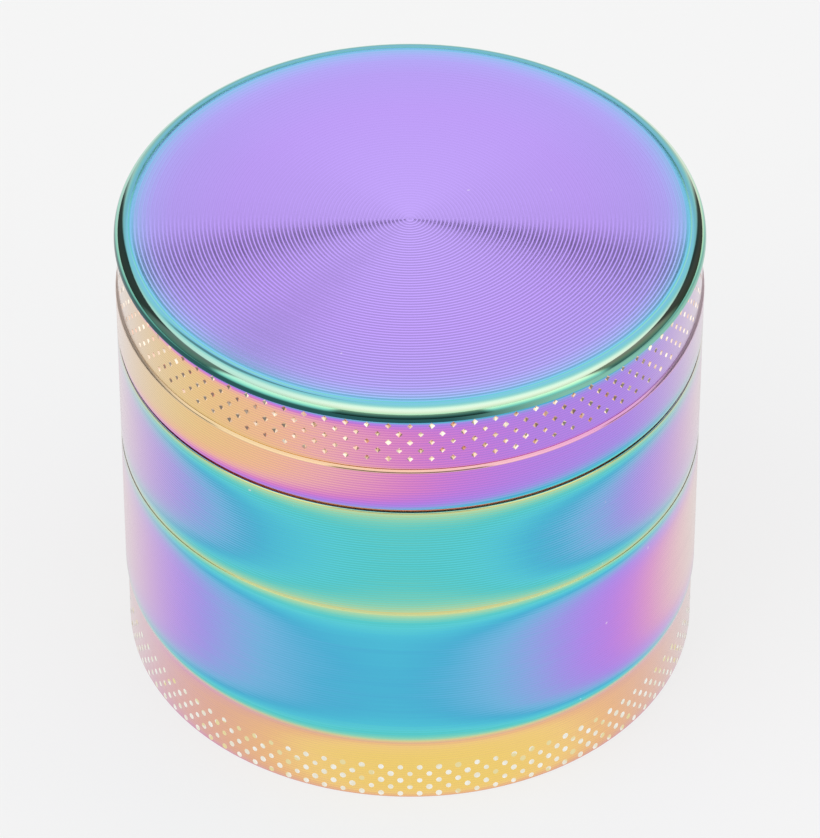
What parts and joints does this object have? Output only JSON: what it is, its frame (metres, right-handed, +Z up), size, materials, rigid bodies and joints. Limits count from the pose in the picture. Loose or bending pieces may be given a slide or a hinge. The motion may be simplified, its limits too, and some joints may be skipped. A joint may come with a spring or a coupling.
{
  "type": "hand grinder",
  "caption": "Round sectional metal hand grinder with a toothed magnetic lid, a toothed chamber with drop holes, screwed storage and catcher cups, a fine screen and knurled bands.",
  "frame": {"origin": "centre of the base, on the surface that the grinder stands on", "axes": "+Z up along the axis that all the round pieces share; X and Y are the two level directions, with -Y towards the front"},
  "size_m": [0.04, 0.04, 0.035],
  "materials": {
    "lid_plating": "satin",
    "chamber_plating": "satin",
    "storage_plating": "satin",
    "catcher_plating": "satin",
    "nickel": "polished",
    "stainless_mesh": "satin",
    "stainless_ring": "satin",
    "nylon": "matte"
  },
  "bodies": {
    "pollen_catcher": {"pollen_catcher": "catcher_plating"},
    "screen_retaining_ring": {"screen_retaining_ring": "stainless_ring"},
    "storage_chamber": {"storage_chamber": "storage_plating", "pollen_screen": "stainless_mesh"},
    "chamber_magnet": {"chamber_magnet": "nickel"},
    "grinding_chamber": {"grinding_chamber": "chamber_plating"},
    "friction_ring": {"friction_ring": "nylon"},
    "lid": {"lid": "lid_plating", "lid_magnet": "nickel"}
  },
  "joints": [
    {"name": "storage_rise", "type": "slide", "parent": "pollen_catcher", "child": "screen_retaining_ring", "axis": [0, 0, 1], "range_m": [0, 0.006]},
    {"name": "storage_unscrew", "type": "hinge", "parent": "screen_retaining_ring", "child": "storage_chamber", "pos_m": [0, 0, 0.0151], "axis": [0, 0, 1], "range_deg": [0, 1080]},
    {"name": "chamber_rise", "type": "slide", "parent": "storage_chamber", "child": "chamber_magnet", "axis": [0, 0, 1], "range_m": [0, 0.006]},
    {"name": "chamber_unscrew", "type": "hinge", "parent": "chamber_magnet", "child": "grinding_chamber", "pos_m": [0, 0, 0.0242], "axis": [0, 0, 1], "range_deg": [0, 1080]},
    {"name": "lid_lift", "type": "slide", "parent": "grinding_chamber", "child": "friction_ring", "axis": [0, 0, 1], "range_m": [0, 0.02]},
    {"name": "lid_spin", "type": "hinge", "parent": "friction_ring", "child": "lid", "pos_m": [0, 0, 0.0306], "axis": [0, 0, 1], "continuous": true}
  ],
  "couplings": [
    {"joint": "storage_rise", "follows": "storage_unscrew", "m_per_rad": 0.00031831},
    {"joint": "chamber_rise", "follows": "chamber_unscrew", "m_per_rad": 0.00031831}
  ]
}
